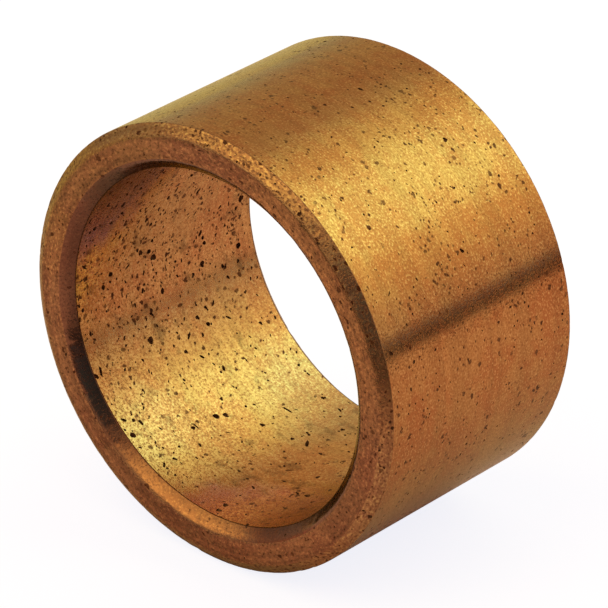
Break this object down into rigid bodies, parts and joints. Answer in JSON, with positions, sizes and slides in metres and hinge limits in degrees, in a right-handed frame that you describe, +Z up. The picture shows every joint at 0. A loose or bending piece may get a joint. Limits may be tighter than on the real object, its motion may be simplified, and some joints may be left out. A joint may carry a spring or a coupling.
{
  "type": "sleeve bushing",
  "caption": "Plain porous bronze sleeve bushing with chamfered edges: a shaft turns in its oil-filled bore, and its outside is pressed into a housing.",
  "frame": {"origin": "centre of the sleeve, on the axis of its bore and outside wall, halfway between the end faces", "axes": "+Y along the axis of the bore; the sleeve lies on its side, +Z is up, and both ends are the same"},
  "size_m": [0.016, 0.0096, 0.016],
  "materials": {
    "bronze": "satin, as sized in the die, with fine open pores"
  },
  "bodies": {
    "root": {"sleeve": "bronze"}
  },
  "joints": []
}
